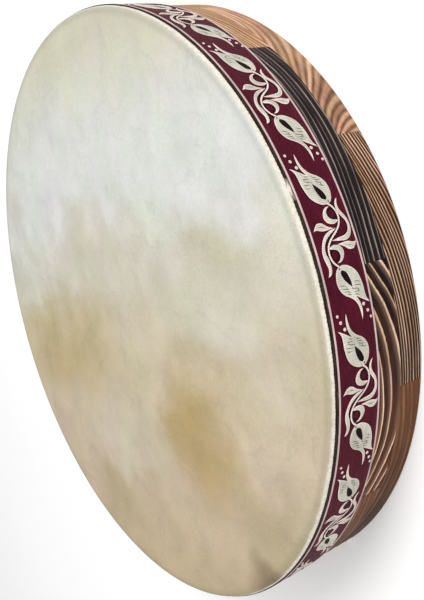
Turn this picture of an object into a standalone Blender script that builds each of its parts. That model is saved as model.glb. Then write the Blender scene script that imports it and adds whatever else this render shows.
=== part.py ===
"""Frame drum: a glued-up wooden hoop, a goat-hide head lapped over it, and a ribbon that covers the lap.

The drum lies flat on its open back. +Z points up through the head, and the origin is the middle of
the hoop's back edge. The hoop is four rings of nine blocks. Each ring is turned half a block from
the next, like courses of bricks, so that no joint between blocks runs through the hoop.
"""

import math

import bmesh
import bpy
from mathutils import Matrix, Vector

MM = 0.001

# Driving dimensions
DRUM_RADIUS = 200.0 * MM        # over the ribbon
DRUM_HEIGHT = 68.8 * MM         # from the back edge to the playing surface
GAP = 0.3 * MM                  # between pieces that touch
RING_COUNT = 4
BLOCKS_PER_RING = 9
WALL = 14.0 * MM                # hoop thickness, measured along a radius
HIDE_THICKNESS = 0.6 * MM
RIBBON_THICKNESS = 0.5 * MM
RIBBON_WIDTH = 30.0 * MM
BRAID_THICKNESS = 0.4 * MM
BRAID_WIDTH = 1.7 * MM
BRAID_TOP = 3.0 * MM            # below the playing surface
HIDE_LAP = 32.0 * MM            # how far the hide reaches down the side
SEAM_ANGLE = 28.0               # degrees from +X to a joint of the head ring
EDGE_RADIUS = 2.2 * MM          # outer round-over of the bearing edge
CROWN_WIDTH = 1.8 * MM          # flat top of the bearing edge
CROWN_BEVEL_DROP = 4.5 * MM     # how far the bearing edge slopes down to the inside
BACK_EDGE_RADIUS = 0.8 * MM     # round-over of the hoop's open edge
RIBBON_TUCK = 2.5 * MM          # lowest stretch of ribbon, drawn in on to bare wood
RIBBON_FLAT = 1.1 * MM          # the part of it that lies flat on the wood
RIBBON_LEAN = 0.4 * MM          # how much higher its outer face turns in than its inner one
BRAID_EASE = 0.2 * MM           # bevel of the braid's outer corners
TURN_STEPS = 90                 # facets of a full turn
SHARP_ANGLE = 30.0              # degrees between faces that are shaded as a hard edge

# Worked-out dimensions
BLOCK_ANGLE = 360.0 / BLOCKS_PER_RING
BLOCK_STEPS = TURN_STEPS // BLOCKS_PER_RING
RIBBON_INNER = DRUM_RADIUS - RIBBON_THICKNESS
HIDE_OUTER = RIBBON_INNER - GAP
HIDE_INNER = HIDE_OUTER - HIDE_THICKNESS
WOOD_OUTER = HIDE_INNER - GAP
WOOD_INNER = WOOD_OUTER - WALL
WOOD_HEIGHT = DRUM_HEIGHT - HIDE_THICKNESS - GAP
RING_HEIGHT = (WOOD_HEIGHT - (RING_COUNT - 1) * GAP) / RING_COUNT
BRAID_TOP_Z = DRUM_HEIGHT - BRAID_TOP
RIBBON_TOP_Z = BRAID_TOP_Z - BRAID_WIDTH - GAP
RIBBON_BOTTOM_Z = RIBBON_TOP_Z - RIBBON_WIDTH
HIDE_BOTTOM_Z = DRUM_HEIGHT - HIDE_LAP

WOOD_COLOURS = {
    "tan": (0.50, 0.36, 0.22),
    "brown": (0.26, 0.16, 0.10),
    "dark": (0.09, 0.07, 0.07),
}
# Rings from the head down, and the wood of each one's blocks in turn
RING_WOODS = {
    "head_ring": ("tan", "brown", "dark", "brown", "tan", "brown", "dark", "tan", "brown"),
    "second_ring": ("brown", "tan", "brown", "dark", "brown", "tan", "brown", "dark", "tan"),
    "third_ring": ("dark", "tan", "brown", "tan", "brown", "brown", "dark", "tan", "brown"),
    "back_ring": ("brown", "dark", "tan", "brown", "brown", "brown", "tan", "tan", "dark"),
}


def clear_scene():
    for obj in list(bpy.data.objects):
        bpy.data.objects.remove(obj)


def new_collection(name):
    collection = bpy.data.collections.new(name)
    bpy.context.scene.collection.children.link(collection)
    return collection


def new_material(name, colour, roughness):
    material = bpy.data.materials.new(name)
    material.use_nodes = True
    shader = material.node_tree.nodes["Principled BSDF"]
    shader.inputs["Base Color"].default_value = (*colour, 1.0)
    shader.inputs["Roughness"].default_value = roughness
    shader.inputs["Metallic"].default_value = 0.0
    return material


def add_object(name, mesh, collection, material):
    obj = bpy.data.objects.new(name, mesh)
    mesh.materials.append(material)
    mesh.shade_smooth()
    mesh.set_sharp_from_angle(angle=math.radians(SHARP_ANGLE))
    collection.objects.link(obj)
    return obj


def arc(centre, radius, first, last, steps):
    """Points (r, z) along an arc about centre, from the angle first to last, in degrees."""
    points = []
    for i in range(steps + 1):
        angle = math.radians(first + (last - first) * i / steps)
        points.append((centre[0] + radius * math.cos(angle), centre[1] + radius * math.sin(angle)))
    return points


def turned(name, profile, closed, collection, material):
    """A full turn of the profile, whose points (r, z) run down its outer side."""
    mesh = bpy.data.meshes.new(name)
    shape = bmesh.new()
    points = [shape.verts.new((r, 0.0, z)) for r, z in profile]
    for first, second in zip(points, points[1:]):
        shape.edges.new((first, second))
    if closed:
        shape.edges.new((points[-1], points[0]))
    shape.to_mesh(mesh)
    shape.free()
    obj = add_object(name, mesh, collection, material)
    screw = obj.modifiers.new("Turn", "SCREW")
    screw.axis = "Z"
    screw.angle = math.tau
    screw.steps = TURN_STEPS
    screw.render_steps = TURN_STEPS
    screw.use_merge_vertices = True
    screw.merge_threshold = 1e-5
    screw.use_smooth_shade = True
    return obj


def plain_section():
    """A middle ring's section: the board's thickness high and the wall's thickness wide."""
    return [
        (WOOD_OUTER, 0.0),
        (WOOD_OUTER, RING_HEIGHT),
        (WOOD_INNER, RING_HEIGHT),
        (WOOD_INNER, 0.0),
    ]


def back_edge_section():
    """The back ring's section: both edges of its lower face are rounded over for the hand."""
    radius = BACK_EDGE_RADIUS
    section = [(WOOD_OUTER, RING_HEIGHT), (WOOD_INNER, RING_HEIGHT)]
    section += arc((WOOD_INNER + radius, radius), radius, 180.0, 270.0, 3)
    section += arc((WOOD_OUTER - radius, radius), radius, 270.0, 360.0, 3)
    return section


def bearing_edge_section():
    """The head ring's section: rounded outside, a narrow crown, and a slope down to the inside."""
    centre = (WOOD_OUTER - EDGE_RADIUS, RING_HEIGHT - EDGE_RADIUS)
    crown_inner = WOOD_OUTER - EDGE_RADIUS - CROWN_WIDTH
    section = [(WOOD_OUTER, 0.0)]
    section += arc(centre, EDGE_RADIUS, 0.0, 90.0, 4)
    section.append((crown_inner, RING_HEIGHT))
    section.append((WOOD_INNER, RING_HEIGHT - CROWN_BEVEL_DROP))
    section.append((WOOD_INNER, 0.0))
    return section


def hoop_block(name, section, start_angle, bottom_z, collection, material):
    """One block: its section spun about the drum's axis, short of the joints by half a gap each."""
    joint = math.degrees(GAP / 2.0 / WOOD_INNER)
    turn = Matrix.Rotation(math.radians(start_angle + joint), 3, "Z")
    shape = bmesh.new()
    corners = [shape.verts.new(turn @ Vector((r, 0.0, z + bottom_z))) for r, z in section]
    face = shape.faces.new(corners)
    bmesh.ops.spin(
        shape,
        geom=[face, *face.edges, *face.verts],
        cent=(0.0, 0.0, 0.0),
        axis=(0.0, 0.0, 1.0),
        angle=math.radians(BLOCK_ANGLE - 2.0 * joint),
        steps=BLOCK_STEPS,
        use_duplicate=False,
    )
    bmesh.ops.recalc_face_normals(shape, faces=shape.faces)
    mesh = bpy.data.meshes.new(name)
    shape.to_mesh(mesh)
    shape.free()
    return add_object(name, mesh, collection, material)


def hoop(collection, woods):
    """Four rings from the head down, every second one turned by half a block."""
    sections = [bearing_edge_section(), plain_section(), plain_section(), back_edge_section()]
    for ring, (ring_name, block_woods) in enumerate(RING_WOODS.items()):
        bottom_z = (RING_COUNT - 1 - ring) * (RING_HEIGHT + GAP)
        first_joint = SEAM_ANGLE + (ring % 2) * BLOCK_ANGLE / 2.0
        for block, wood in enumerate(block_woods):
            start_angle = first_joint + block * BLOCK_ANGLE
            name = f"{ring_name}_block_{block + 1}"
            hoop_block(name, sections[ring], start_angle, bottom_z, collection, woods[wood])


def hide_head(collection, material):
    """The hide: flat over the hoop, round the bearing edge, and down the side to under the ribbon."""
    centre = (WOOD_OUTER - EDGE_RADIUS, WOOD_HEIGHT - EDGE_RADIUS)
    profile = [(0.0, DRUM_HEIGHT)]
    profile += arc(centre, EDGE_RADIUS + GAP + HIDE_THICKNESS, 90.0, 0.0, 4)
    profile.append((HIDE_OUTER, HIDE_BOTTOM_Z))
    profile.append((HIDE_INNER, HIDE_BOTTOM_Z))
    profile += arc(centre, EDGE_RADIUS + GAP, 0.0, 90.0, 4)
    profile.append((0.0, DRUM_HEIGHT - HIDE_THICKNESS))
    turned("hide_head", profile, False, collection, material)


def edging_braid(collection, material):
    """A narrow braid that finishes the ribbon's edge next to the head."""
    inner = RIBBON_INNER
    outer = RIBBON_INNER + BRAID_THICKNESS
    bottom = BRAID_TOP_Z - BRAID_WIDTH
    profile = [
        (outer - BRAID_EASE, BRAID_TOP_Z),
        (outer, BRAID_TOP_Z - BRAID_EASE),
        (outer, bottom + BRAID_EASE),
        (outer - BRAID_EASE, bottom),
        (inner, bottom),
        (inner, BRAID_TOP_Z),
    ]
    turned("edging_braid", profile, True, collection, material)


def ribbon(collection, material):
    """The woven ribbon: over the hide's lap, then drawn in on to the bare wood below it."""
    tucked_inner = WOOD_OUTER + GAP
    tucked_outer = tucked_inner + RIBBON_THICKNESS
    tuck_z = RIBBON_BOTTOM_Z + RIBBON_FLAT
    full_z = RIBBON_BOTTOM_Z + RIBBON_TUCK
    profile = [
        (DRUM_RADIUS, RIBBON_TOP_Z),
        (DRUM_RADIUS, full_z + RIBBON_LEAN),
        (tucked_outer, tuck_z + RIBBON_LEAN),
        (tucked_outer, RIBBON_BOTTOM_Z),
        (tucked_inner, RIBBON_BOTTOM_Z),
        (tucked_inner, tuck_z),
        (RIBBON_INNER, full_z - GAP),
        (RIBBON_INNER, RIBBON_TOP_Z),
    ]
    turned("ribbon", profile, True, collection, material)


def main():
    clear_scene()
    drum = new_collection("frame_drum")
    woods = {}
    for name, colour in WOOD_COLOURS.items():
        woods[name] = new_material(f"wood_{name}", colour, 0.45)
    hoop(drum, woods)
    hide_head(drum, new_material("hide", (0.69, 0.65, 0.52), 0.6))
    edging_braid(drum, new_material("braid", (0.015, 0.013, 0.013), 0.8))
    ribbon(drum, new_material("ribbon", (0.10, 0.010, 0.022), 0.65))


main()
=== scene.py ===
"""Frame drum: detailed hoop blocks, hide head, braid and woven ribbon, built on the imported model."""

import math

import bmesh
import bpy
import numpy as np
from mathutils import Matrix, Vector, noise
from mathutils.geometry import delaunay_2d_cdt


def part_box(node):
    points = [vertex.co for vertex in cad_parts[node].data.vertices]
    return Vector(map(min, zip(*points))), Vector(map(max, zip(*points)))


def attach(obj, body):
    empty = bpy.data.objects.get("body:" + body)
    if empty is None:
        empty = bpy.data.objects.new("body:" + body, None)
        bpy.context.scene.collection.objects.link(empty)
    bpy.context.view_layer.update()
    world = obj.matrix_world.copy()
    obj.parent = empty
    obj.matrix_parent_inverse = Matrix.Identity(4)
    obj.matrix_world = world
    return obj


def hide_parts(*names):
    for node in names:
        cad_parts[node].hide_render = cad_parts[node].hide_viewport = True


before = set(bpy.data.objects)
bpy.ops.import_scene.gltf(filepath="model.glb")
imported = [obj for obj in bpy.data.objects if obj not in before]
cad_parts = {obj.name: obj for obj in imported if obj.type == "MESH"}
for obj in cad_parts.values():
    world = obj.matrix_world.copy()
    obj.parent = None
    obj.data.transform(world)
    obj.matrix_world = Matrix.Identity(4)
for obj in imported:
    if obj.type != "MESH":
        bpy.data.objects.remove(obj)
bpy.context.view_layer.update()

MM = 0.001
RIBBON_LOW, RIBBON_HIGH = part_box("ribbon")
BRAID_LOW, BRAID_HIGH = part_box("edging_braid")
HIDE_LOW, HIDE_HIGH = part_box("hide_head")
DRUM_RADIUS = RIBBON_HIGH.x
HIDE_RADIUS = HIDE_HIGH.x
HEAD_Z = HIDE_HIGH.z

# ---- camera

CAMERA_POSITION = Vector((0.0022, -0.4738, HEAD_Z + 0.2392))
CAMERA_AIM = Vector((-0.0045, -0.1111, HEAD_Z))
CAMERA_ROLL = math.radians(-106.13)  # the drum stands on its side in the picture
CAMERA_LENS_MM = 46.0


def make_camera():
    data = bpy.data.cameras.new("camera")
    data.lens = CAMERA_LENS_MM
    data.clip_start = 0.01
    camera = bpy.data.objects.new("camera", data)
    bpy.context.scene.collection.objects.link(camera)
    camera.location = CAMERA_POSITION
    turn = (CAMERA_AIM - CAMERA_POSITION).to_track_quat("-Z", "Y")
    camera.rotation_euler = (turn.to_matrix() @ Matrix.Rotation(CAMERA_ROLL, 3, "Z")).to_euler()
    bpy.context.scene.camera = camera


# ---- mesh helpers

SEED_SHIFT = 17.31  # how far apart two seeds lie in the noise


def smoothstep(low, high, value):
    share = np.clip((value - low) / (high - low), 0.0, 1.0)
    return share * share * (3.0 - 2.0 * share)


def noise_at(points, scale, seed):
    """Smooth noise, about -1 to 1, at each point. One unit of noise is `scale` long."""
    moved = points / scale + seed * SEED_SHIFT
    return np.array([noise.noise(Vector(p)) for p in moved.reshape(-1, 3)]).reshape(moved.shape[:-1])


def polar_points(radius, angle, z):
    radius, angle, z = np.broadcast_arrays(radius, angle, z)
    return np.stack((radius * np.cos(angle), radius * np.sin(angle), z), axis=-1)


def new_object(name, vertices, faces, material):
    mesh = bpy.data.meshes.new(name)
    mesh.from_pydata(np.asarray(vertices).reshape(-1, 3).tolist(), [], faces)
    mesh.materials.append(material)
    mesh.shade_smooth()
    obj = bpy.data.objects.new(name, mesh)
    bpy.context.scene.collection.objects.link(obj)
    return obj


def loft_faces(rows, columns, turned=False):
    """Faces of a grid of points [row, column]: a closed section along a run, with a cap at each end,
    or with turned, an open section all the way round the drum."""
    index = np.arange(rows * columns).reshape(rows, columns)
    next_row = np.roll(index, -1, axis=0)
    next_column = np.roll(index, -1, axis=1)
    across = np.roll(next_row, -1, axis=1)
    quads = np.stack((index, next_row, across, next_column), axis=-1)
    if turned:
        return quads[:, :-1].reshape(-1, 4).tolist()
    caps = [index[0].tolist(), index[-1][::-1].tolist()]
    return quads[:-1].reshape(-1, 4).tolist() + caps


def turn_outwards(obj, weld=0.0):
    """Turns every face outwards, once points that lie within the weld distance are joined."""
    shape = bmesh.new()
    shape.from_mesh(obj.data)
    if weld > 0.0:
        bmesh.ops.remove_doubles(shape, verts=shape.verts, dist=weld)
    bmesh.ops.recalc_face_normals(shape, faces=shape.faces)
    shape.to_mesh(obj.data)
    shape.free()
    obj.data.shade_smooth()


def mark_sharp(obj, degrees):
    obj.data.set_sharp_from_angle(angle=math.radians(degrees))


def mesh_points(mesh):
    points = np.empty(len(mesh.vertices) * 3, np.float32)
    mesh.vertices.foreach_get("co", points)
    return points.reshape(-1, 3)


def store(obj, name, kind, values):
    attribute = obj.data.attributes.new(name, kind, "POINT")
    key = "vector" if kind == "FLOAT_VECTOR" else "value"
    attribute.data.foreach_set(key, np.asarray(values, np.float32).ravel())


# ---- material helpers


def rgb(red, green, blue):
    """A display colour, 0 to 255, as linear light with alpha."""
    values = []
    for value in (red, green, blue):
        share = value / 255.0
        linear = share / 12.92 if share <= 0.04045 else ((share + 0.055) / 1.055) ** 2.4
        values.append(linear)
    return (*values, 1.0)


class Shader:
    """A new material's nodes, feeding one Principled BSDF."""

    def __init__(self, name, **constants):
        self.material = bpy.data.materials.new(name)
        self.material.use_nodes = True
        self.nodes = self.material.node_tree.nodes
        self.links = self.material.node_tree.links
        self.bsdf = self.nodes["Principled BSDF"]
        for key, value in constants.items():
            self.bsdf.inputs[key.replace("_", " ")].default_value = value

    def put(self, socket, value):
        if isinstance(value, bpy.types.NodeSocket):
            self.links.new(value, socket)
        else:
            socket.default_value = value

    def node(self, kind, inputs=(), **settings):
        made = self.nodes.new("ShaderNode" + kind)
        for key, value in settings.items():
            setattr(made, key, value)
        for key, value in dict(inputs).items():
            self.put(made.inputs[key], value)
        return made

    def attribute(self, name, output="Fac"):
        return self.node("Attribute", attribute_name=name).outputs[output]

    def math(self, operation, first, second=0.0, third=0.0, clamp=False):
        inputs = {0: first, 1: second, 2: third}
        return self.node("Math", inputs, operation=operation, use_clamp=clamp).outputs[0]

    def scaled(self, value, factor, offset, clamp=False):
        return self.math("MULTIPLY_ADD", value, factor, offset, clamp)

    def noise(self, vector, scale, detail, roughness=0.5, distortion=0.0):
        inputs = {"Vector": vector, "Scale": scale, "Detail": detail, "Roughness": roughness}
        inputs["Distortion"] = distortion
        return self.node("TexNoise", inputs).outputs["Fac"]

    def vector(self, operation, *inputs, output=0):
        made = self.node("VectorMath", dict(enumerate(inputs)), operation=operation)
        return made.outputs[output]

    def stretch(self, vector, scale):
        return self.node("Mapping", {"Vector": vector, "Scale": scale}).outputs["Vector"]

    def ramp(self, factor, stops, interpolation="LINEAR"):
        made = self.node("ValToRGB", {"Fac": factor})
        ramp = made.color_ramp
        ramp.interpolation = interpolation
        while len(ramp.elements) < len(stops):
            ramp.elements.new(0.5)
        for element, (place, colour) in zip(ramp.elements, stops):
            element.position = place
            element.color = colour if hasattr(colour, "__len__") else (colour, colour, colour, 1.0)
        return made.outputs["Color"]

    def mix(self, factor, first, second, blend="MIX"):
        made = self.node("Mix", data_type="RGBA", blend_type=blend, clamp_factor=True)
        self.put(made.inputs[0], factor)
        self.put(made.inputs[6], first)
        self.put(made.inputs[7], second)
        return made.outputs[2]

    def shade(self, colour, factor, stops):
        """The colour multiplied by a ramp of the factor."""
        return self.mix(1.0, colour, self.ramp(factor, stops), "MULTIPLY")

    def bump(self, height, distance, strength, normal=None):
        inputs = {"Height": height, "Distance": distance, "Strength": strength}
        if normal is not None:
            inputs["Normal"] = normal
        return self.node("Bump", inputs).outputs["Normal"]

    def finish(self, colour, normal=None, roughness=None):
        for name, value in (("Base Color", colour), ("Normal", normal), ("Roughness", roughness)):
            if value is not None:
                self.put(self.bsdf.inputs[name], value)
        return self.material


# ---- wood

# Each look: how a board's growth rings cross the block, in millimetres. slope is how far a line climbs
# for each millimetre cut from the board's edge, tilt how far it climbs along the board, bend how much
# more of that there is towards the ends, fade how much paler the block gets towards its first end, and
# minor how many faint lines there are in each ring. stops is the brightness of a line across one ring,
# from the ground, 0, to pale, 1, and chance the least strength of a line and how much more it may have.
# dark and mid colour the ground, pale and pale_2 the lines.
THIN_LINE = [(0.0, 0.0), (0.04, 0.9), (0.10, 1.0), (0.18, 0.80), (0.25, 0.15), (0.60, 0.0), (1.0, 0.0)]
FAINT_LINE = [(0.0, 0.0), (0.06, 0.9), (0.14, 1.0), (0.23, 0.45), (0.34, 0.03), (1.0, 0.0)]
EVEN_LINE = [(0.0, 0.05), (0.13, 0.95), (0.36, 0.75), (0.52, 0.06), (1.0, 0.0)]
SOFT_LINE = [(0.0, 0.0), (0.30, 0.85), (0.55, 1.0), (0.80, 0.15), (1.0, 0.0)]
LOOKS = {
    "bold": dict(
        slope=1.45, tilt=0.06, spacing=4.25, shift=0.42, stops=THIN_LINE, chance=(0.55, 0.6),
        relief=0.26, fade=0.7, minor=4.3,
        dark=(20, 5, 4), mid=(74, 39, 24), pale=(238, 198, 176), pale_2=(232, 192, 156),
    ),
    "charred": dict(
        slope=0.50, tilt=-0.046, bend=0.06, spacing=3.20, shift=0.30, stops=FAINT_LINE,
        chance=(0.05, 1.0), relief=0.20, fade=-0.30, minor=3.3,
        dark=(3, 1, 2), mid=(29, 18, 18), pale=(208, 186, 174), pale_2=(144, 124, 128),
    ),
    "fine": dict(
        slope=0.40, tilt=0.115, spacing=1.95, shift=0.20, stops=EVEN_LINE, chance=(0.5, 0.6),
        relief=0.18, fade=-0.8, minor=2.3,
        dark=(10, 0, 0), mid=(42, 15, 3), pale=(224, 184, 158), pale_2=(180, 140, 104),
    ),
    "striped": dict(
        slope=2.30, tilt=-0.30, spacing=2.05, shift=0.00, stops=SOFT_LINE, chance=(0.25, 0.8),
        relief=0.08, fade=-0.4, minor=3.3,
        dark=(96, 60, 40), mid=(148, 112, 84), pale=(222, 190, 148), pale_2=(206, 154, 132),
    ),
    "plain": dict(
        slope=0.55, tilt=-0.04, spacing=3.4, shift=0.40, stops=SOFT_LINE, chance=(0.2, 0.7),
        relief=0.08, fade=-0.9, minor=3.3,
        dark=(32, 13, 5), mid=(80, 49, 30), pale=(130, 90, 60), pale_2=(98, 60, 38),
    ),
    "tan": dict(
        slope=-0.60, tilt=0.05, spacing=2.4, shift=0.10, stops=SOFT_LINE, chance=(0.4, 0.6),
        relief=0.12, fade=0.2, minor=3.3,
        dark=(84, 50, 30), mid=(138, 98, 66), pale=(212, 176, 134), pale_2=(190, 148, 108),
    ),
}
RING_LOOKS = {
    "head_ring": ("tan", "plain", "charred", "bold", "striped", "fine", "charred", "tan", "plain"),
    "second_ring": ("fine", "striped", "bold", "charred", "plain", "tan", "fine", "charred", "striped"),
    "third_ring": ("charred", "striped", "fine", "tan", "plain", "bold", "charred", "tan", "bold"),
    "back_ring": ("plain", "charred", "tan", "bold", "plain", "fine", "striped", "tan", "charred"),
}
PITH_DISTANCE = 85.0  # mm from a block's outer face to the middle of its tree
HALF_BLOCK = 68.0  # mm from a block's middle to its end, along the board
WANDER = (1.6, 60.0)  # mm, how far and over what length the rings wander
RIPPLE = (0.35, 17.0)  # the same for their finer waves
UNEVEN_RINGS = 0.35  # mm, how far fat and lean years shift a ring
UNEVEN_RATE = 0.55  # radians per mm, how soon such years follow each other
FIRST_RING = 40.0  # keeps every ring's number above zero
FIBRE_SCALE = (0.03, 1.1, 1.1)  # noise per mm along, through and up the board
SCORCH_SCALE = (0.02, 0.10, 0.14)
PORE_SCALE = (0.10, 5.0, 5.0)
FIBRE_WAVER = 0.14  # of a ring, how far fibres shift its line
FADE_SHADE = 0.25  # how far fade changes all of a block's colour, not only its ground's
ALONG_CHANGE = 0.022  # of a line's strength and tone, per mm along the board
RING_DIFFERENCE = 7.31  # steps in the noise from one ring to the next
TONE_SEED = 4.7
OPEN_FACE = 0.5 * MM  # a face this near the hoop's back or top isn't glued
JOINT_CLOSE = 0.10 * MM  # how far each block closes its half of a glue gap
END_EASE = 0.5 * MM  # of a block's outer face, at each of its ends
END_DROP = 0.06 * MM  # how far it drops there
RELIEF_BAND = (0.3 * MM, 0.02 * MM)  # below the outer face, where the relief starts and is full
OUTER_STEP = 0.36 * MM
PLAIN_STEP = 1.6 * MM
COLUMN_ANGLE = math.radians(0.4)
HIDDEN_COLUMN_ANGLE = 4.0 * COLUMN_ANGLE
ROUNDING = 1e-5  # radians or metres that count as no difference


def wood_material(name, look):
    """Growth rings from the stored `ring` count, each ring a little different, with fine fibres."""
    shader = Shader("wood_" + name, Specular_IOR_Level=0.08)
    board = shader.attribute("board", "Vector")
    fibres = shader.noise(shader.stretch(board, FIBRE_SCALE), 1.0, 5.0, 0.6)
    scorch = shader.noise(shader.stretch(board, SCORCH_SCALE), 1.0, 4.0, 0.6)
    ring = shader.scaled(fibres, FIBRE_WAVER, shader.attribute("ring"))
    minor = shader.math("MULTIPLY", ring, look["minor"])
    along = shader.node("SeparateXYZ", {0: board}).outputs["X"]
    line = ring_lines(shader, ring, along, look["stops"], *look["chance"])
    minor_line = ring_lines(shader, minor, along, EVEN_LINE, 0.0, 0.9)
    tone = along_each_ring(shader, ring, along, TONE_SEED)
    pale = shader.mix(tone, rgb(*look["pale"]), rgb(*look["pale_2"]))
    ground = shader.scaled(scorch, 2.6, -0.85)
    ground = shader.scaled(along, -look["fade"] / HALF_BLOCK, ground)
    ground = shader.scaled(minor_line, 0.5, ground, clamp=True)
    colour = shader.mix(ground, rgb(*look["dark"]), rgb(*look["mid"]))
    colour = shader.mix(line, colour, pale)
    colour = shader.shade(colour, fibres, [(0.25, 0.70), (0.55, 1.0), (0.8, 1.15)])
    end_shade = shader.scaled(along, -look["fade"] * FADE_SHADE / HALF_BLOCK, 1.0)
    colour = shader.mix(1.0, colour, end_shade, "MULTIPLY")
    pores = shader.noise(shader.stretch(board, PORE_SCALE), 1.0, 2.0, 0.5)
    height = shader.scaled(pores, 0.5, shader.math("MULTIPLY", fibres, 0.6))
    normal = shader.bump(height, 0.12 * MM, 0.6)
    roughness = shader.scaled(line, -0.15, 0.58)
    return shader.finish(colour, normal, roughness)


def ring_lines(shader, ring, along, stops, least, spread):
    """A line in each ring, whose strength comes and goes along it, from least to least + spread."""
    shape = shader.ramp(shader.math("FRACT", ring), stops)
    strength = shader.scaled(along_each_ring(shader, ring, along, 0.0), spread, least)
    return shader.math("MULTIPLY", shape, strength, clamp=True)


def along_each_ring(shader, ring, along, seed):
    """A share from 0 to 1 that differs from ring to ring and drifts along each of them."""
    number = shader.math("MULTIPLY", shader.math("FLOOR", ring), RING_DIFFERENCE)
    inputs = {0: shader.math("MULTIPLY", along, ALONG_CHANGE), 1: number, 2: seed}
    drift = shader.noise(shader.node("CombineXYZ", inputs).outputs[0], 1.0, 2.0)
    return shader.scaled(drift, 2.6, -0.8, clamp=True)


def end_section(node):
    """The outline (r, z) of a block's end face, its lowest and highest angle, all from the CAD."""
    points = mesh_points(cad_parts[node].data).astype(float)
    radius = np.hypot(points[:, 0], points[:, 1])
    middle = math.atan2(points[:, 1].mean(), points[:, 0].mean())
    angle = np.arctan2(points[:, 1], points[:, 0]) - middle
    angle = (angle + math.pi) % math.tau - math.pi
    at_end = angle < angle.min() + ROUNDING
    outline = np.unique(np.round(np.stack((radius[at_end], points[at_end, 2]), 1), 7), axis=0)
    centre = (outline.min(0) + outline.max(0)) / 2.0
    order = np.argsort(np.arctan2(outline[:, 1] - centre[1], outline[:, 0] - centre[0]))
    return outline[order], middle, angle.min(), angle.max()


def dense_outline(outline, outer_step):
    """The outline with points along its sides, closest together on the outer face."""
    points = []
    outer = outline[:, 0].max() - ROUNDING
    for start, end in zip(outline, np.roll(outline, -1, axis=0)):
        step = outer_step if min(start[0], end[0]) > outer else PLAIN_STEP
        count = max(1, round(float(np.hypot(*(end - start))) / step))
        for i in range(count):
            points.append(start + (end - start) * i / count)
    return np.array(points)


def ring_count(board, look, seed):
    """The growth ring that each point (mm along, out, up) of the board lies in, counted outwards."""
    lean = math.atan(look["slope"])
    pith_y = -PITH_DISTANCE * math.sin(lean)
    pith_z = -PITH_DISTANCE * math.cos(lean)
    wander = WANDER[0] * noise_at(board * (1.0, 2.0, 2.0), WANDER[1], seed)
    ripple = RIPPLE[0] * noise_at(board * (1.0, 2.5, 2.5), RIPPLE[1], seed + 3)
    y = board[..., 1] - pith_y
    along = board[..., 0]
    bend = look.get("bend", 0.0) * along**3 / HALF_BLOCK**2
    z = board[..., 2] - pith_z - look["tilt"] * along - bend
    distance = np.hypot(y, z) - PITH_DISTANCE + wander + ripple
    uneven = UNEVEN_RINGS * np.sin(distance * UNEVEN_RATE + seed)
    return (distance + uneven) / look["spacing"] + look["shift"] + FIRST_RING


def close_joints(outline):
    """Moves those flat faces of a block that are glued to another ring nearer to it."""
    wood_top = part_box("head_ring_block_1")[1].z
    low, high = outline[:, 1].min(), outline[:, 1].max()
    if low > OPEN_FACE:
        outline[outline[:, 1] == low, 1] -= JOINT_CLOSE
    if high < wood_top - OPEN_FACE:
        outline[outline[:, 1] == high, 1] += JOINT_CLOSE


def hoop_block(node, look_name, seed):
    """One block of the hoop, with its grain standing a little proud on the turned outer face."""
    look = LOOKS[look_name]
    outline, middle, first, last = end_section(node)
    middle_z = (outline[:, 1].min() + outline[:, 1].max()) / 2.0
    close_joints(outline)
    seen = node.startswith(("third", "back"))  # the ribbon covers the other two rings
    section = dense_outline(outline, OUTER_STEP if seen else PLAIN_STEP)
    outer = outline[:, 0].max()
    first -= JOINT_CLOSE / outer
    last += JOINT_CLOSE / outer
    ease = END_EASE / outer
    step = COLUMN_ANGLE if seen else HIDDEN_COLUMN_ANGLE
    columns = np.arange(first + 2.0 * ease, last - 2.0 * ease, step)
    angles = np.concatenate(([first, first + ease], columns, [last - ease, last]))
    radius = np.broadcast_to(section[:, 0], (len(angles), len(section))).copy()
    z = np.broadcast_to(section[:, 1], radius.shape)
    angle = np.broadcast_to(angles[:, None], radius.shape)
    board = (radius * np.sin(angle), radius * np.cos(angle) - outer, z - middle_z)
    board = np.stack(board, axis=-1) / MM
    rings = ring_count(board, look, seed)
    line = np.interp(rings % 1.0, *zip(*look["stops"]))
    on_face = smoothstep(outer - RELIEF_BAND[0], outer - RELIEF_BAND[1], radius)
    edge = 1.0 - smoothstep(0.0, 1.0, np.minimum(angle - first, last - angle) / ease)
    radius -= on_face * (look["relief"] * MM * (1.0 - line) + END_DROP * edge)
    points = polar_points(radius, angle + middle, z)
    piece = new_object("block_" + node, points, loft_faces(*radius.shape), materials[look_name])
    store(piece, "ring", "FLOAT", rings)
    store(piece, "board", "FLOAT_VECTOR", board)
    turn_outwards(piece)
    mark_sharp(piece, 40.0)
    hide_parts(node)
    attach(piece, "root")


def make_hoop():
    seed = 0
    for ring_name, looks in RING_LOOKS.items():
        for block, look_name in enumerate(looks):
            seed += 1
            node = f"{ring_name}_block_{block + 1}"
            hoop_block(node, look_name, seed)


# ---- hide

HIDE_THICKNESS = 0.6 * MM
EDGE_RADIUS = 3.1 * MM  # of the hide's outer side where it turns down the hoop
PICTURE_UP = math.radians(-8.0)  # the drum's direction that points up in the picture
HIDE_COLUMNS = 480
HIDE_SAG = (0.10 * MM, 45.0 * MM)  # how far and over what length the head is uneven
HIDE_PUCKER = (0.10 * MM, 5.0 * MM)  # the same for the puckers round its edge
POLE_WELD = 1e-7  # joins the points in the middle of the head

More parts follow.
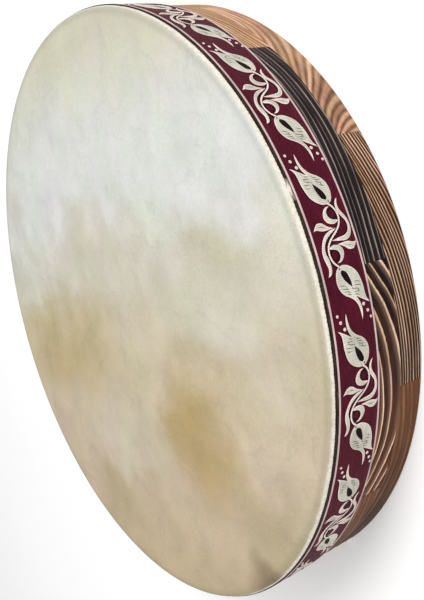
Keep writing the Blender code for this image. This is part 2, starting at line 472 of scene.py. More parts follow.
# Stains: middle and size in drum radii (up the picture, then to its left), tint and strength
STAINS = [
    ((0.02, 0.62), (0.20, 0.66), (180, 164, 128), 0.7),
    ((-0.16, 0.60), (0.26, 0.70), (174, 156, 116), 0.9),
    ((-0.42, -0.34), (0.34, 0.30), (169, 146, 99), 0.95),
    ((-0.02, -0.52), (0.20, 0.36), (196, 192, 178), 0.8),
    ((-0.50, 0.10), (0.20, 0.36), (186, 177, 154), 0.8),
    ((-0.76, 0.42), (0.18, 0.22), (152, 137, 98), 0.35),
    ((-0.52, 0.24), (0.22, 0.30), (194, 186, 166), 0.6),
    ((-0.62, -0.62), (0.24, 0.24), (166, 150, 120), 0.7),
    ((-0.84, -0.62), (0.12, 0.22), (112, 90, 64), 0.7),
    ((0.58, 0.80), (0.44, 0.18), (178, 174, 156), 0.4),
    ((0.22, -0.62), (0.12, 0.30), (186, 180, 150), 0.6),
    ((-0.20, -0.76), (0.16, 0.24), (188, 180, 160), 0.6),
    ((0.14, -0.92), (0.40, 0.16), (200, 195, 178), 0.7),
    ((0.26, 0.10), (0.16, 0.90), (192, 187, 166), 0.6),
]


def hide_material():
    """Mottled rawhide: ochre stains, veins and pores, painted shade towards the rim, and cream where it
    bends.
    """
    shader = Shader("hide", Specular_IOR_Level=0.30)
    place = shader.node("TexCoord").outputs["Object"]
    unit = shader.node(
        "Mapping",
        {"Vector": place, "Rotation": (0.0, 0.0, -PICTURE_UP), "Scale": (1.0 / DRUM_RADIUS,) * 3},
    ).outputs["Vector"]
    wide = drifted(shader, unit, unit, 1.7, 0.22)
    drift = drifted(shader, wide, unit, 6.0, 0.10)
    height = shader.node("SeparateXYZ", {0: drift}).outputs["X"]
    colour = shader.ramp(
        shader.scaled(height, 0.5, 0.5),
        [
            (0.04, rgb(179, 162, 131)), (0.22, rgb(184, 169, 146)), (0.38, rgb(190, 178, 153)),
            (0.50, rgb(189, 181, 159)), (0.61, rgb(191, 190, 178)), (0.70, rgb(202, 205, 201)),
            (0.82, rgb(200, 203, 198)), (0.96, rgb(192, 189, 170)),
        ],
    )
    for centre, size, tint, strength in STAINS:
        colour = stain(shader, colour, drift, centre, size, rgb(*tint), strength)
    cloud = shader.noise(unit, 6.0, 7.0, 0.62)
    colour = shader.shade(colour, cloud, [(0.3, 0.88), (0.7, 1.08)])
    patch = shader.noise(wide, 4.5, 5.0, 0.6, 0.6)
    patch_tints = [(0.36, (1.03, 0.99, 1.02, 1.0)), (0.64, (0.975, 0.995, 0.93, 1.0))]
    colour = shader.shade(colour, patch, patch_tints)
    fleck = shader.noise(unit, 90.0, 3.0, 0.7)
    colour = shader.shade(colour, fleck, [(0.3, 0.93), (0.65, 1.03)])
    vein = shader.math("SUBTRACT", shader.noise(drift, 3.2, 5.0, 0.5, 0.5), 0.5)
    vein = shader.math("ABSOLUTE", vein)
    colour = shader.shade(colour, vein, [(0.0, 0.93), (0.012, 1.0)])
    cells = shader.node("TexVoronoi", {"Vector": unit, "Scale": 120.0}).outputs["Distance"]
    follicle = shader.ramp(cells, [(0.08, 1.0), (0.24, 0.0)])
    dense = shader.ramp(shader.noise(wide, 2.7, 4.0, 0.6), [(0.50, 0.0), (0.66, 1.0)])
    pitted = shader.math("MULTIPLY", follicle, shader.math("MULTIPLY", dense, 0.45))
    colour = shader.mix(pitted, colour, rgb(110, 84, 58))
    reach = shader.vector("LENGTH", shader.vector("MULTIPLY", unit, (1.0, 1.0, 0.0)), output="Value")
    # How far out towards the rim, a little uneven: it sets where the painted shade and the cream roll
    # begin.
    rim_shade_and_cream_reach = shader.scaled(cloud, 0.012, reach)
    # Painted shade: the hide is made darker towards the rim, where the head turns over the hoop's edge.
    colour = shader.shade(colour, rim_shade_and_cream_reach, [(0.970, 1.0), (0.990, 0.80)])
    roll = shader.ramp(rim_shade_and_cream_reach, [(0.9968, 0.0), (1.0, 1.0)])
    speck = shader.ramp(fleck, [(0.35, 0.0), (0.6, 1.0)])
    cream = shader.mix(speck, rgb(188, 180, 166), rgb(206, 199, 188))
    colour = shader.mix(roll, colour, cream)
    fine = shader.noise(unit, 160.0, 4.0, 0.65)
    relief = shader.scaled(fine, 0.7, shader.math("MULTIPLY", follicle, -0.25))
    normal = shader.bump(relief, 0.15 * MM, 0.35)
    normal = shader.bump(cloud, 0.6 * MM, 0.4, normal)
    roughness = shader.scaled(fleck, 0.25, 0.42)
    return shader.finish(colour, normal, roughness)


def drifted(shader, place, unit, scale, amount):
    """The place moved about by cloudy noise, so that the edges of stains wander."""
    cloud = shader.node("TexNoise", {"Vector": unit, "Scale": scale, "Detail": 5.0}).outputs["Color"]
    centred = shader.vector("SUBTRACT", cloud, (0.5, 0.5, 0.5))
    return shader.vector("MULTIPLY_ADD", centred, (2.0 * amount, 2.0 * amount, 0.0), place)


def stain(shader, colour, place, centre, size, tint, strength):
    """Mixes a soft round stain of the given size into the colour."""
    local = shader.node(
        "Mapping", {"Vector": place, "Location": (*centre, 0.0), "Scale": (*size, 1.0)},
        vector_type="TEXTURE",
    ).outputs["Vector"]
    flat = shader.vector("MULTIPLY", local, (1.0, 1.0, 0.0))
    spot = shader.node("TexGradient", {"Vector": flat}, gradient_type="SPHERICAL").outputs["Fac"]
    spot = shader.ramp(spot, [(0.0, 0.0), (0.85, 1.0)], "EASE")
    return shader.mix(shader.math("MULTIPLY", spot, strength), colour, tint)


def arc_points(centre, radius, first, last, count):
    angles = np.radians(np.linspace(first, last, count))
    return [(centre[0] + radius * math.cos(a), centre[1] + radius * math.sin(a)) for a in angles]


def hide_profile():
    """The hide's section (r, z): down its outer side from the middle, and back up its inner side."""
    centre = (HIDE_RADIUS - EDGE_RADIUS, HEAD_Z - EDGE_RADIUS)
    inner = HIDE_RADIUS - HIDE_THICKNESS
    profile = [(r, HEAD_Z) for r in np.linspace(0.0, centre[0], 60)[:-1]]
    profile += arc_points(centre, EDGE_RADIUS, 90.0, 0.0, 9)
    profile += [(HIDE_RADIUS, z) for z in np.linspace(centre[1], HIDE_LOW.z, 14)[1:]]
    profile += [(inner, z) for z in np.linspace(HIDE_LOW.z, centre[1], 8)]
    profile += arc_points(centre, EDGE_RADIUS - HIDE_THICKNESS, 0.0, 90.0, 6)[1:]
    profile += [(r, HEAD_Z - HIDE_THICKNESS) for r in np.linspace(centre[0], 0.0, 30)[1:]]
    return np.array(profile)


def make_hide():
    """The head: nearly flat, with the slight unevenness of a skin, and small puckers round the roll."""
    profile = hide_profile()
    angle = np.linspace(0.0, math.tau, HIDE_COLUMNS, endpoint=False)[:, None]
    points = polar_points(profile[None, :, 0], angle, profile[None, :, 1])
    reach = np.broadcast_to(profile[None, :, 0], points.shape[:2])
    sag = HIDE_SAG[0] * noise_at(points, HIDE_SAG[1], 5)
    points[..., 2] += sag * (1.0 - smoothstep(0.85, 0.96, reach / HIDE_RADIUS))
    depth = HEAD_Z - points[..., 2]
    on_roll = smoothstep(0.96, 0.985, reach / HIDE_RADIUS) * smoothstep(0.05 * MM, 0.8 * MM, depth)
    outer = reach > HIDE_RADIUS - 0.9 * HIDE_THICKNESS
    around = points * (1.0, 1.0, 0.0)
    pucker = HIDE_PUCKER[0] * noise_at(around, HIDE_PUCKER[1], 9) * on_roll * outer
    shrink = 1.0 - np.abs(pucker) / HIDE_RADIUS
    points[..., 0] *= shrink
    points[..., 1] *= shrink
    faces = loft_faces(HIDE_COLUMNS, len(profile), turned=True)
    hide = new_object("hide", points, faces, materials["hide"])
    turn_outwards(hide, POLE_WELD)
    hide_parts("hide_head")
    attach(hide, "root")


# ---- ribbon

RIBBON_SEAM = math.radians(112.0)  # where its ends overlap, away from the picture
RIBBON_LAP = 14.0 * MM
RIBBON_THICK = 0.35 * MM
RIBBON_FACE = 199.6 * MM  # radius of its outer face where the hide backs it
RIBBON_DRAWN_IN = 0.5 * MM  # at its lowest stretch, glued to bare wood
RIBBON_TUCK = (0.8 * MM, 3.2 * MM)  # above its lower edge, where that stretch ends
RIBBON_STEP = 1.5 * MM
RIBBON_ROWS = 30
LAP_RISE = RIBBON_THICK + 0.1 * MM
LAP_SLOPE = (-6.0 * MM, 2.0 * MM)  # where the upper end climbs, from where the lap starts
BORDER_WIDTH = 1.3 * MM
BORDER_HEIGHT = 0.30 * MM
BORDER_ROOT = -0.1 * MM  # how deep it sits in the ribbon
BORDER_STEP = 0.5 * MM
TWIST_DEPTH = 0.05 * MM
TWIST_LENGTH = 1.5 * MM
TWIST_RISE = 1.1 * MM
EDGE_BAND = 0.15 * MM  # dark selvage outside each border
MOTIF_REPEAT = 82.5 * MM
MOTIF_CENTRE_ANGLE = math.radians(-86.8)
MOTIF_CENTRE_Z = HEAD_Z - 20.7 * MM
RIBBON_LENGTH = math.tau * DRUM_RADIUS + RIBBON_LAP


def ribbon_radius(height):
    """The ribbon's outer radius at a height, drawn in over its lowest stretch where no hide backs it."""
    tuck = 1.0 - smoothstep(RIBBON_LOW.z + RIBBON_TUCK[0], RIBBON_LOW.z + RIBBON_TUCK[1], height)
    return RIBBON_FACE - RIBBON_DRAWN_IN * tuck


def on_ribbon(along, height, lift):
    """The point at a distance along the ribbon from its seam, at a height, that far off its face."""
    along, height, lift = np.broadcast_arrays(along, height, lift)
    rise = LAP_RISE * smoothstep(*LAP_SLOPE, along - (RIBBON_LENGTH - RIBBON_LAP))
    radius = ribbon_radius(height) + lift + rise
    return polar_points(radius, RIBBON_SEAM + along / DRUM_RADIUS, height)


def ribbon_strip(name, low, high, lifts, step, material, relief=None):
    """A band along the ribbon. lifts are (share of width, lift) pairs round its section."""
    count = int(round(RIBBON_LENGTH / step)) + 1
    along = np.linspace(0.0, RIBBON_LENGTH, count)[:, None]
    section = np.array(lifts)
    height = low + (high - low) * section[None, :, 0]
    lift = np.broadcast_to(section[None, :, 1], (count, len(section))).copy()
    if relief is not None:
        lift += relief(along, height) * (section[None, :, 1] > 0.0)
    points = on_ribbon(along, height, lift)
    strip = new_object(name, points, loft_faces(count, len(section)), material)
    turn_outwards(strip)
    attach(strip, "root")
    return strip


def flat_section(thickness, count):
    shares = np.linspace(0.0, 1.0, count)
    outer = [(share, 0.0) for share in shares]
    inner = [(share, -thickness) for share in shares[::-1]]
    return outer + inner


def domed_section(height, count):
    """A low dome just clear of the ribbon's face, with its root below it."""
    shares = np.linspace(0.0, 1.0, count)
    outer = [(share, height * math.sin(math.pi * share) ** 0.5 + ROUNDING) for share in shares]
    return [(0.0, BORDER_ROOT)] + outer + [(1.0, BORDER_ROOT)]


def weave(shader, place, threads):
    """Threads crossing over and under, as a height from 0 to 1."""
    parts = shader.node("SeparateXYZ", {0: place}).outputs
    along = shader.math("SINE", shader.math("MULTIPLY", parts["X"], threads))
    across = shader.math("SINE", shader.math("MULTIPLY", parts["Y"], threads))
    crossing = shader.math("MULTIPLY", along, across)
    return shader.scaled(crossing, 0.5, 0.5)


def store_cloth_place(obj):
    """Stores each point's place on the flat cloth, in millimetres: along, up, out."""
    points = mesh_points(obj.data)
    angle = (np.arctan2(points[:, 1], points[:, 0]) - RIBBON_SEAM) % math.tau
    place = np.stack((angle * DRUM_RADIUS, points[:, 2], np.hypot(points[:, 0], points[:, 1])), 1) / MM
    store(obj, "cloth", "FLOAT_VECTOR", place)


# Each cloth's name, two colours, roughness, and thread and bump in mm, then for the silver motif the
# colour of its outline and how much painted shade darkens the dips between its long stitches
CLOTHS = {
    "burgundy": ("burgundy_satin", (86, 8, 34), (44, 1, 14), 0.62, 0.42, 0.10),
    "silver": (
        "silver_thread", (207, 203, 190), (174, 173, 158), 0.52, 0.50, 0.12, (232, 208, 202), 0.30,
    ),
    "border": ("border_thread", (202, 178, 176), (178, 154, 152), 0.55, 0.50, 0.10),
    "black_thread": ("black_thread", (22, 4, 8), (12, 3, 4), 0.7, 0.50, 0.08),
    "braid": ("braid_black", (60, 52, 41), (3, 2, 1), 0.75, 0.40, 0.10),
}


def cloth_material(name, base, shade, roughness, thread_mm, bump_mm, rim=None, stitch=0.0):
    shader = Shader(
        name, Roughness=roughness, Sheen_Weight=0.02, Sheen_Roughness=0.4, Specular_IOR_Level=0.06
    )
    place = shader.attribute("cloth", "Vector")
    threads = weave(shader, place, math.tau / thread_mm)
    streaks = shader.noise(shader.stretch(place, (0.15, 2.5, 1.0)), 1.0, 3.0, 0.6)
    wear = shader.noise(shader.stretch(place, (0.05, 0.12, 1.0)), 1.0, 4.0, 0.6)
    colour = shader.mix(shader.ramp(streaks, [(0.3, 0.0), (0.7, 1.0)]), rgb(*base), rgb(*shade))
    if rim is not None:
        outline = shader.ramp(shader.attribute("depth"), [(0.15, 1.0), (0.60, 0.0)])
        colour = shader.mix(outline, colour, rgb(*rim))
    # Painted shade: the colour is darker where the threads dip under each other.
    colour = shader.shade(colour, threads, [(0.0, 0.74), (0.7, 1.05)])
    colour = shader.shade(colour, wear, [(0.3, 0.78), (0.7, 1.15)])
    height = threads
    if stitch > 0.0:
        bands = shader.node(
            "TexWave",
            {"Vector": place, "Scale": 0.30, "Distortion": 3.0, "Detail": 2.0, "Detail Scale": 0.4},
            wave_type="BANDS", bands_direction="X",
        ).outputs["Fac"]
        # Painted shade: the colour is darker in the dips between the long stitches.
        colour = shader.shade(colour, bands, [(0.0, 1.0 - stitch), (0.35, 1.0)])
        height = shader.math("ADD", threads, bands)
    normal = shader.bump(height, bump_mm * MM, 0.7)
    return shader.finish(colour, normal)


def make_ribbon():
    low, high = RIBBON_LOW.z, RIBBON_HIGH.z
    ribbon = ribbon_strip(
        "woven_ribbon", low, high, flat_section(RIBBON_THICK, RIBBON_ROWS), RIBBON_STEP,
        materials["burgundy"],
    )
    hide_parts("ribbon")
    mark_sharp(ribbon, 50.0)

    def twist(along, height):
        return TWIST_DEPTH * np.sin(math.tau * (along / TWIST_LENGTH + height / TWIST_RISE))

    borders = []
    for name, base in (("lower", low + EDGE_BAND), ("upper", high - EDGE_BAND - BORDER_WIDTH)):
        borders.append(
            ribbon_strip(
                f"ribbon_border_{name}", base, base + BORDER_WIDTH, domed_section(BORDER_HEIGHT, 7),
                BORDER_STEP, materials["border"], twist,
            )
        )
    motifs = make_motifs()
    for piece in (ribbon, *borders, *motifs):
        store_cloth_place(piece)


# Outlines of the woven motif, in millimetres from the middle of its S-shaped stem, head side up.
# Each outline is a run of smooth stretches that meet in sharp corners.
TULIP = [
    [(-16.2, 4.2), (-17.9, 5.7), (-20.2, 6.6), (-23.1, 7.0), (-26.1, 6.4), (-28.6, 4.9), (-30.4, 2.8),
     (-31.8, 0.2), (-33.6, -2.2), (-36.0, -3.9), (-39.0, -4.8), (-43.9, -5.4)],
    [(-43.9, -5.4), (-41.1, -6.1), (-38.1, -6.2), (-35.0, -5.5), (-31.6, -3.6)],
    [(-31.6, -3.6), (-33.2, -6.2), (-34.8, -8.9), (-35.9, -10.8), (-36.5, -12.4)],
    [(-36.5, -12.4), (-35.2, -11.2), (-33.6, -10.3), (-31.1, -9.9), (-27.6, -9.7), (-24.1, -9.0),
     (-20.6, -7.7), (-18.0, -5.5), (-16.1, -2.5), (-15.4, 0.2), (-15.6, 2.4), (-16.2, 4.2)],
]
TULIP_HEART = [
    [(-17.6, 2.0), (-18.8, 3.1), (-21.0, 2.6), (-23.5, 1.1), (-27.1, -2.5)],
    [(-27.1, -2.5), (-24.1, -2.4), (-21.3, -1.6), (-18.8, -0.3), (-17.6, 2.0)],
]
# Slits left between stitches, each from one point to another
TULIP_VEINS = [
    ((-25.0, 5.8), (-26.4, 0.8)), ((-26.7, 5.2), (-28.3, -0.8)), ((-28.3, 4.0), (-29.8, -1.4)),
    ((-29.7, 2.4), (-31.1, -1.6)), ((-28.0, -1.8), (-29.0, -7.6)), ((-29.6, -2.6), (-30.5, -7.8)),
    ((-26.5, -3.8), (-27.4, -8.8)), ((-24.8, -4.4), (-25.6, -8.4)), ((-31.0, -2.8), (-31.8, -6.4)),
]
CRESCENT = [
    [(-13.9, 3.4), (-13.6, 0.9), (-11.8, -1.4), (-8.7, -2.5), (-6.0, -1.1), (-4.9, 2.0), (-5.2, 4.4),
     (-6.2, 6.2)],
    [(-6.2, 6.2), (-6.8, 4.6), (-7.2, 2.6), (-8.5, 0.8), (-10.7, 0.2), (-12.7, 1.3), (-13.9, 3.4)],
]
BUD = [
    [(3.2, -0.4), (4.2, 2.2), (5.4, 4.2), (6.6, 5.8), (7.1, 7.7), (6.8, 9.4), (5.6, 10.8), (3.5, 12.5)],
    [(3.5, 12.5), (3.9, 10.8), (3.5, 9.0), (2.9, 7.0), (2.8, 4.6), (3.0, 2.2), (3.2, -0.4)],
]
BUD_VEIN = ((5.0, 9.4), (4.2, 4.4))
UPPER_LEAF = [
    [(3.1, -2.0), (2.6, 1.6), (1.6, 4.6), (0.2, 6.9), (-1.8, 8.7), (-4.4, 10.2), (-7.1, 11.1),
     (-9.9, 11.2), (-12.6, 10.6), (-14.9, 9.9), (-17.0, 10.1), (-19.4, 11.2)],
    [(-19.4, 11.2), (-18.6, 9.3), (-16.6, 8.2), (-13.9, 7.9), (-10.9, 8.3), (-8.1, 9.1), (-5.6, 8.9),
     (-3.2, 7.7), (-1.2, 5.7), (0.4, 3.1), (1.8, 0.2), (3.1, -2.0)],
]
LOWER_LEAF = [
    [(17.6, -9.0), (16.5, -7.5), (14.7, -6.5), (12.4, -6.2), (9.9, -6.7), (7.9, -8.0), (5.8, -9.4),
     (3.2, -9.9), (1.0, -9.3), (-0.7, -7.7), (-1.5, -5.3), (-1.8, -2.5), (-2.2, 0.4), (-2.6, 3.2)],
    [(-2.6, 3.2), (-3.1, 0.4), (-3.6, -2.5), (-3.9, -5.4), (-3.4, -7.8), (-1.9, -9.9), (0.4, -11.1),
     (3.1, -11.5), (6.1, -11.0), (8.8, -9.8), (10.9, -8.4), (13.4, -7.7), (15.8, -8.2), (17.6, -9.0)],
]
STEM = [(-15.6, 3.2), (-14.0, 5.2), (-11.2, 6.8), (-7.9, 7.1), (-5.0, 6.1), (-2.6, 4.1), (-0.7, 1.7)]
STEM_SHIFT = (0.0, 1.2)
EYE_CENTRE = (-9.9, 3.4)  # of the dark ring inside a crescent
EYE_RADIUS = 3.1
EYE_OUTLINE = 0.9
STEM_WIDTH = 0.95
VEIN_WIDTH = 0.36
VEIN_BOW = 0.40
DOTS = [((-36.6, -7.6), 0.9), ((-40.3, -9.7), 0.85), ((-43.8, -11.2), 0.75)]
TULIP_EYE = ((-16.8, 3.3), 0.5)
BUD_SHIFT = (-1.8, -0.3)
CRESCENT_SHIFT = (0.3, 1.1)
# How far the dark threads stand out from behind the pale ones
TULIP_SHADOW = (0.15, -0.6)
UPPER_SHADOW = (-0.4, -0.6)
LOWER_SHADOW = (0.4, 0.6)
STEM_SHADOW = 1.5
SILVER_RELIEF = (0.10, 0.28)  # how high a patch's edge stands, and its middle above that
BLACK_RELIEF = (0.04, 0.06)
OUTLINE_STEP = 0.35
FILL_STEP = 0.8  # between the points inside an outline
FILL_MARGIN = 0.3  # from them to its edges
DOME_REACH = 0.45  # how soon a patch rises from its edges
PATCH_ROOT = -0.08  # how deep it sits in the ribbon
LAYER_LIFT = 0.01  # from one shape's patch to the next one's
END_CLEAR = 1.0 * MM  # bare ribbon left at each of its ends


def smooth_stretch(points):
    """A Catmull-Rom curve through the points, without its last point."""
    knots = np.array(points, float)
    padded = np.vstack((2.0 * knots[0] - knots[1], knots, 2.0 * knots[-1] - knots[-2]))
    curve = []
    for a, b, c, d in zip(padded, padded[1:], padded[2:], padded[3:]):
        count = max(1, round(float(np.hypot(*(c - b))) / OUTLINE_STEP))
        for t in np.arange(count) / count:
            curve.append(
                0.5 * (2.0 * b + (c - a) * t + (2.0 * a - 5.0 * b + 4.0 * c - d) * t**2
                       + (3.0 * b - a - 3.0 * c + d) * t**3)
            )
    return curve


def outline_of(stretches):
    points = []
    for stretch in stretches:
        points += smooth_stretch(stretch)
    return np.array(points)


def circle(centre, radius, count=14):
    angles = np.linspace(0.0, math.tau, count, endpoint=False)
    return np.array(centre) + radius * np.stack((np.cos(angles), np.sin(angles)), axis=1)


def half_turn(outline, shift):
    return np.array(shift) - outline


def vein_outline(start, end):
    """A slim lens between two points, bowed to one side."""
    start, end = np.array(start), np.array(end)
    across = np.array((start[1] - end[1], end[0] - start[0])) / np.hypot(*(end - start))
    middle = (start + end) / 2.0 + across * VEIN_BOW
    half = across * VEIN_WIDTH / 2.0
    return outline_of([[start, middle + half, end], [end, middle - half, start]])


def stem_outline(width=STEM_WIDTH):
    """A thin band along the S: the given half, and the same turned about the middle."""
    half = np.array(smooth_stretch(STEM) + [np.array(STEM[-1])])
    line = np.vstack((half, half_turn(half, STEM_SHIFT)[::-1]))
    direction = np.gradient(line, axis=0)
    direction /= np.linalg.norm(direction, axis=1)[:, None]
    side = np.stack((-direction[:, 1], direction[:, 0]), axis=1) * width / 2.0
    return np.vstack((line + side, (line - side)[::-1]))


def inside(points, outline):
    """Whether each point lies inside the closed outline."""
    x, y = points[:, 0, None], points[:, 1, None]
    x0, y0 = outline[:, 0], outline[:, 1]
    x1, y1 = np.roll(x0, -1), np.roll(y0, -1)
    crosses = (y0 > y) != (y1 > y)
    with np.errstate(divide="ignore", invalid="ignore"):
        at = x0 + (y - y0) * (x1 - x0) / (y1 - y0)
    return (crosses & (x < at)).sum(1) % 2 == 1


def distance_to(points, outline):
    start = outline
    step = np.roll(outline, -1, axis=0) - start
    length = np.maximum((step**2).sum(1), 1e-12)
    share = np.clip(((points[:, None] - start) * step).sum(2) / length, 0.0, 1.0)
    nearest = start + share[..., None] * step
    return np.linalg.norm(points[:, None] - nearest, axis=2).min(1)


def filled(outline, holes):
    """Flat triangles that fill the outline around its holes.

    Gives points, triangles, and each point's distance to any edge and to the outline.
    """
    loops = [outline, *holes]
    low, high = outline.min(0), outline.max(0)
    columns, rows = (np.arange(low[axis], high[axis], FILL_STEP) for axis in (0, 1))
    grid = np.stack(np.meshgrid(columns, rows), axis=-1).reshape(-1, 2)
    keep = inside(grid, outline)
    for hole in holes:
        keep &= ~inside(grid, hole)
    grid = grid[keep]
    for loop in loops:
        grid = grid[distance_to(grid, loop) > FILL_MARGIN]
    points, edges, first = [], [], 0
    for loop in loops:
        count = len(loop)
        edges += [(first + i, first + (i + 1) % count) for i in range(count)]
        points += loop.tolist()
        first += count
    points += grid.tolist()
    made = delaunay_2d_cdt([Vector(p) for p in points], edges, [], 0, ROUNDING)
    flat = np.array([tuple(p) for p in made[0]])
    triangles = np.array([face for face in made[2] if len(face) == 3])
    middle = flat[triangles].mean(1)
    keep = inside(middle, outline)
    for hole in holes:
        keep &= ~inside(middle, hole)
    triangles = triangles[keep]
    edge_distance = np.min([distance_to(flat, loop) for loop in loops], axis=0)
    return flat, triangles, edge_distance, distance_to(flat, outline)


def thick_patch(outline, holes, base, crown):
    """A closed, softly domed patch: points (x, y, lift) in mm, faces, and depth inside the outline."""
    flat, triangles, edge_distance, depth = filled(outline, holes)
    used = np.unique(triangles)
    new_index = np.full(len(flat), -1)
    new_index[used] = np.arange(len(used))
    triangles = new_index[triangles]
    flat, depth = flat[used], depth[used]
    lift = base + crown * (1.0 - np.exp(-edge_distance[used] / DOME_REACH))
    top = np.column_stack((flat, lift))
    bottom = np.column_stack((flat, np.full(len(flat), PATCH_ROOT)))
    ends = np.concatenate([triangles[:, [0, 1]], triangles[:, [1, 2]], triangles[:, [2, 0]]])
    directed = {tuple(edge) for edge in ends.tolist()}
    rim = [edge for edge in directed if (edge[1], edge[0]) not in directed]
    count = len(flat)
    walls = []
    for a, b in rim:
        walls += [(b, a, a + count), (b, a + count, b + count)]
    faces = triangles.tolist() + (triangles[:, ::-1] + count).tolist() + walls
    return np.vstack((top, bottom)), faces, np.tile(depth, 2)


def both(outline, holes=(), shift=(0.0, 0.0)):
    """A shape, as (outline, holes), and its copy turned half round."""
    turned_holes = [half_turn(hole, shift) for hole in holes]
    return [(outline, holes), (half_turn(outline, shift), turned_holes)]


def silver_shapes():
    """Every pale shape of one repeat, as (outline, holes)."""
    tulip_holes = [outline_of(TULIP_HEART), circle(*TULIP_EYE)]
    tulip_holes += [vein_outline(*vein) for vein in TULIP_VEINS]
    shapes = both(outline_of(TULIP), tulip_holes)
    shapes += both(outline_of(BUD), [vein_outline(*BUD_VEIN)], BUD_SHIFT)
    shapes += both(outline_of(CRESCENT), shift=CRESCENT_SHIFT)
    shapes += [(outline_of(UPPER_LEAF), []), (outline_of(LOWER_LEAF), []), (stem_outline(), [])]
    for centre, radius in DOTS:
        shapes += both(circle(centre, radius))
    return shapes


def black_shapes():
    """Dark accents: behind the tulips' openings, round the stem, along the leaves, in the crescents."""
    shapes = both(outline_of(TULIP) + TULIP_SHADOW)
    shapes.append((stem_outline(STEM_WIDTH + STEM_SHADOW), []))
    shapes.append((outline_of(UPPER_LEAF) + UPPER_SHADOW, []))
    shapes.append((outline_of(LOWER_LEAF) + LOWER_SHADOW, []))
    eye = circle(EYE_CENTRE, EYE_RADIUS, 24)
    eye_hole = circle(EYE_CENTRE, EYE_RADIUS - EYE_OUTLINE, 20)
    return shapes + both(eye, [eye_hole], CRESCENT_SHIFT)


def motif_object(name, shapes, base, crown, material):
    """All repeats of the shapes along the ribbon, apart from those that would cross its ends."""
    patches = []
    for layer, (outline, holes) in enumerate(shapes):
        patches.append(thick_patch(outline, holes, base + LAYER_LIFT * layer, crown))
    centre_along = ((MOTIF_CENTRE_ANGLE - RIBBON_SEAM) % math.tau) * DRUM_RADIUS
    first = -int(centre_along // MOTIF_REPEAT) - 1
    vertices, faces, depths, count = [], [], [], 0
    for repeat in range(first, first + int(RIBBON_LENGTH // MOTIF_REPEAT) + 3):
        origin = centre_along + repeat * MOTIF_REPEAT
        for points, triangles, depth in patches:
            along = origin + points[:, 0] * MM
            if along.min() < END_CLEAR or along.max() > RIBBON_LENGTH - END_CLEAR:
                continue
            placed = on_ribbon(along, MOTIF_CENTRE_Z + points[:, 1] * MM, points[:, 2] * MM)
            vertices.append(placed)
            depths.append(depth)
            faces += [tuple(i + count for i in face) for face in triangles]
            count += len(points)
    made = new_object(name, np.vstack(vertices), faces, material)
    store(made, "depth", "FLOAT", np.concatenate(depths))
    mark_sharp(made, 60.0)
    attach(made, "root")
    return made


def make_motifs():
    return [
        motif_object("ribbon_motif_silver", silver_shapes(), *SILVER_RELIEF, materials["silver"]),
        motif_object("ribbon_motif_black", black_shapes(), *BLACK_RELIEF, materials["black_thread"]),
    ]


# ---- braid

BRAID_GAP = (math.radians(-80.9), math.radians(-77.4))  # where its worn ends don't meet
BRAID_PLAIT = 2.2 * MM
BRAID_CROWN = 0.75 * MM
BRAID_STEP = 0.4 * MM
BRAID_REACH = 0.35 * MM  # how far it comes down over the ribbon's edge
BRAID_SINK = 0.05 * MM
BRAID_ROOT = 0.1 * MM  # how deep its back lies in the hide
CHEVRON_SLANT = 1.1
CHEVRON_DEPTH = 0.25  # of the braid's crown
BRAID_UNEVEN = 0.22 * MM  # how far its edges come and go
FRAY_RADIUS = 0.14 * MM
FRAY_TAPER = 0.6
FRAY_WAVE = 0.10  # of the braid's width
FRAY_LIFT = 0.25 * MM  # of a thread's first point off the hide
# Loose threads at the worn ends: start and end, as shares of the gap and of the braid's width
FRAY_THREADS = [
    ((-0.10, 0.80), (0.42, 1.05)), ((-0.10, 0.50), (0.30, 0.62)), ((-0.10, 0.25), (0.36, 0.30)),
    ((-0.10, 0.60), (0.20, 0.15)), ((1.10, 0.75), (0.60, 0.95)), ((1.10, 0.40), (0.52, 0.20)),
    ((1.10, 0.20), (0.78, -0.10)), ((1.10, 0.60), (0.70, 0.62)),
]


def make_braid():
    """A narrow plait along the ribbon's head side, in chevrons, with a gap where its ends are frayed."""
    low, high = BRAID_LOW.z - BRAID_REACH, BRAID_HIGH.z
    start = BRAID_GAP[1] * DRUM_RADIUS
    end = (BRAID_GAP[0] + math.tau) * DRUM_RADIUS
    count = int((end - start) / BRAID_STEP)
    along = np.linspace(start, end, count)[:, None]
    share = np.linspace(0.0, 1.0, 9)[None, :]
    crown = BRAID_CROWN * np.sin(math.pi * share) ** 0.6
    chevron = np.abs(np.sin(math.pi * (along / BRAID_PLAIT + np.abs(share - 0.5) * CHEVRON_SLANT)))
    radius = HIDE_RADIUS - BRAID_SINK + crown * (1.0 - CHEVRON_DEPTH + CHEVRON_DEPTH * chevron)
    inner = np.full((count, 2), HIDE_RADIUS - BRAID_ROOT)
    radius = np.concatenate((radius, inner), axis=1)
    height = low + (high - low) * np.append(share[0], (1.0, 0.0))[None, :]
    loose = noise_at(along / MM * (1.0, 0.0, 0.0), 5.0, 7)[:, None]
    scallop = np.abs(np.sin(math.pi * along / BRAID_PLAIT))
    side = np.append(2.0 * share[0] - 1.0, (1.0, -1.0))[None, :]
    height = height + BRAID_UNEVEN * (side * (scallop - 1.0) + loose)
    points = polar_points(radius, along / DRUM_RADIUS, height)
    braid = new_object("braid", points, loft_faces(*radius.shape), materials["braid"])
    turn_outwards(braid)
    fray = make_fray(low, high)
    for piece in (braid, fray):
        store_cloth_place(piece)
        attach(piece, "root")
    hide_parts("edging_braid")


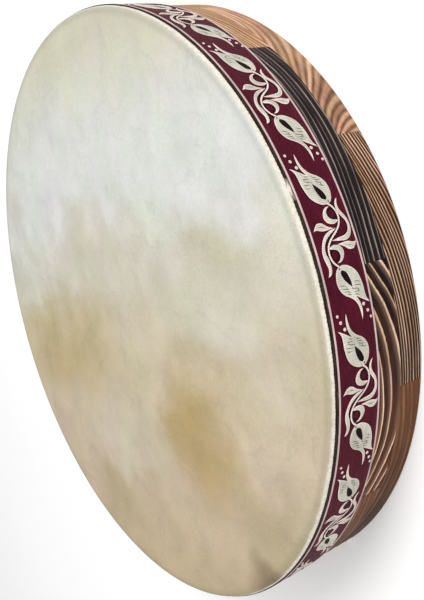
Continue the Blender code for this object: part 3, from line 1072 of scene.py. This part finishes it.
def make_fray(low, high):
    """The unravelled ends: short threads that lie on the hide across the gap."""
    vertices, faces = [], []
    ring = np.linspace(0.0, math.tau, 6, endpoint=False)
    first_angle, span = BRAID_GAP[1], BRAID_GAP[0] - BRAID_GAP[1]
    for number, (start, end) in enumerate(FRAY_THREADS):
        share = np.linspace(0.0, 1.0, 14)[:, None]
        wave = FRAY_WAVE * np.sin(share * 9.0 + number * 2.1) * share
        gap_share = start[0] + (end[0] - start[0]) * share
        height = low + (high - low) * (start[1] + (end[1] - start[1]) * share + wave)
        thick = FRAY_RADIUS * (1.0 - FRAY_TAPER * share)
        radius = HIDE_RADIUS + thick * (0.6 + np.cos(ring)) + FRAY_LIFT * (1.0 - share)
        height = height + thick * np.sin(ring)
        tube = polar_points(radius, first_angle + span * gap_share, height)
        base = sum(len(tube_points) for tube_points in vertices)
        vertices.append(tube.reshape(-1, 3))
        faces += [[i + base for i in face] for face in loft_faces(*radius.shape)]
    fray = new_object("braid_fray", np.vstack(vertices), faces, materials["braid"])
    turn_outwards(fray)
    return fray


# ---- floor and light

FLOOR_REACH = 6.0
LIGHT_AIM = Vector((0.0, 0.0, 0.04))
WORLD_STRENGTH = 0.72


def make_stage():
    shader = Shader("floor", Roughness=0.9)
    place = shader.node("TexCoord").outputs["Object"]
    cloud = shader.noise(place, 2.0, 3.0)
    colour = shader.ramp(cloud, [(0.3, rgb(250, 250, 250)), (0.7, rgb(254, 254, 254))])
    corners = FLOOR_REACH * np.array([(-1, -1, 0), (1, -1, 0), (1, 1, 0), (-1, 1, 0)])
    floor = new_object("floor", corners, [(0, 1, 2, 3)], shader.finish(colour))


def area_light(name, position, size, power):
    data = bpy.data.lights.new(name, "AREA")
    data.shape = "DISK"
    data.size = size
    data.energy = power
    light = bpy.data.objects.new(name, data)
    light.location = position
    aim = LIGHT_AIM - Vector(position)
    light.rotation_euler = aim.to_track_quat("-Z", "Y").to_euler()
    bpy.context.scene.collection.objects.link(light)


def make_light():
    world = bpy.data.worlds.new("studio")
    world.use_nodes = True
    background = world.node_tree.nodes["Background"]
    background.inputs["Color"].default_value = (1.0, 1.0, 1.0, 1.0)
    background.inputs["Strength"].default_value = WORLD_STRENGTH
    bpy.context.scene.world = world
    bpy.context.scene.view_settings.view_transform = "Standard"
    area_light("key", (1.1, -0.9, 1.3), size=1.0, power=22.0)
    area_light("fill", (-0.6, -1.3, 0.7), size=1.2, power=8.0)


materials = {name: wood_material(name, look) for name, look in LOOKS.items()}
materials["hide"] = hide_material()
for name, cloth in CLOTHS.items():
    materials[name] = cloth_material(*cloth)

make_camera()
make_hoop()
make_hide()
make_braid()
make_ribbon()
make_stage()
make_light()
